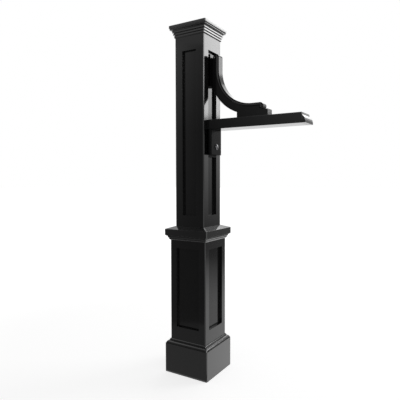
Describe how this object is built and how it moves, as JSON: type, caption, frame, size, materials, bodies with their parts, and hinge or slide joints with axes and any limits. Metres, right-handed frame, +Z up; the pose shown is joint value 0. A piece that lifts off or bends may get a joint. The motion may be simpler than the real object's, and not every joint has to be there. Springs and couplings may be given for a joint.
{
  "type": "bracket arm post",
  "caption": "Square two-tier panelled post sleeve with a plinth, waist collar and moulded cap, carrying a flat side arm under a curved brace with rolled ends.",
  "frame": {"origin": "on the ground at the centre of the square post, where the buried timber comes up through it", "axes": "+Z up along the post, +X along the arm"},
  "size_m": [0.57, 0.2036, 1.43],
  "materials": {
    "black_plastic": "satin",
    "inner_plastic": "matt",
    "zinc_steel": "zinc plated",
    "black_steel": "black coated"
  },
  "bodies": {
    "root": {"arm_core": "zinc_steel", "arm_cover": "black_plastic", "arm_end_cap": "black_plastic", "arm_screw_1": "black_steel", "arm_screw_2": "black_steel", "base_guide": "inner_plastic", "base_guide_screw_1": "zinc_steel", "base_guide_screw_2": "zinc_steel", "base_guide_screw_3": "zinc_steel", "base_guide_screw_4": "zinc_steel", "base_plinth": "black_plastic", "brace": "black_plastic", "brace_arm_screw": "black_steel", "brace_post_screw": "black_steel", "cap_cornice": "black_plastic", "cap_frame": "inner_plastic", "cap_frame_screw_1": "zinc_steel", "cap_frame_screw_2": "zinc_steel", "cap_frame_screw_3": "zinc_steel", "cap_frame_screw_4": "zinc_steel", "cap_lid": "black_plastic", "leg_bolt": "black_steel", "leg_washer": "black_steel", "lower_backing_plate": "zinc_steel", "lower_column": "black_plastic", "mount_block": "black_plastic", "mount_leg": "black_plastic", "spigot_screw_1": "zinc_steel", "spigot_screw_2": "zinc_steel", "spigot_screw_3": "zinc_steel", "spigot_screw_4": "zinc_steel", "upper_backing_plate": "zinc_steel", "upper_column": "black_plastic", "waist_collar": "black_plastic", "waist_guide": "inner_plastic", "waist_screw_1": "zinc_steel", "waist_screw_2": "zinc_steel", "waist_screw_3": "zinc_steel", "waist_screw_4": "zinc_steel"}
  },
  "joints": []
}
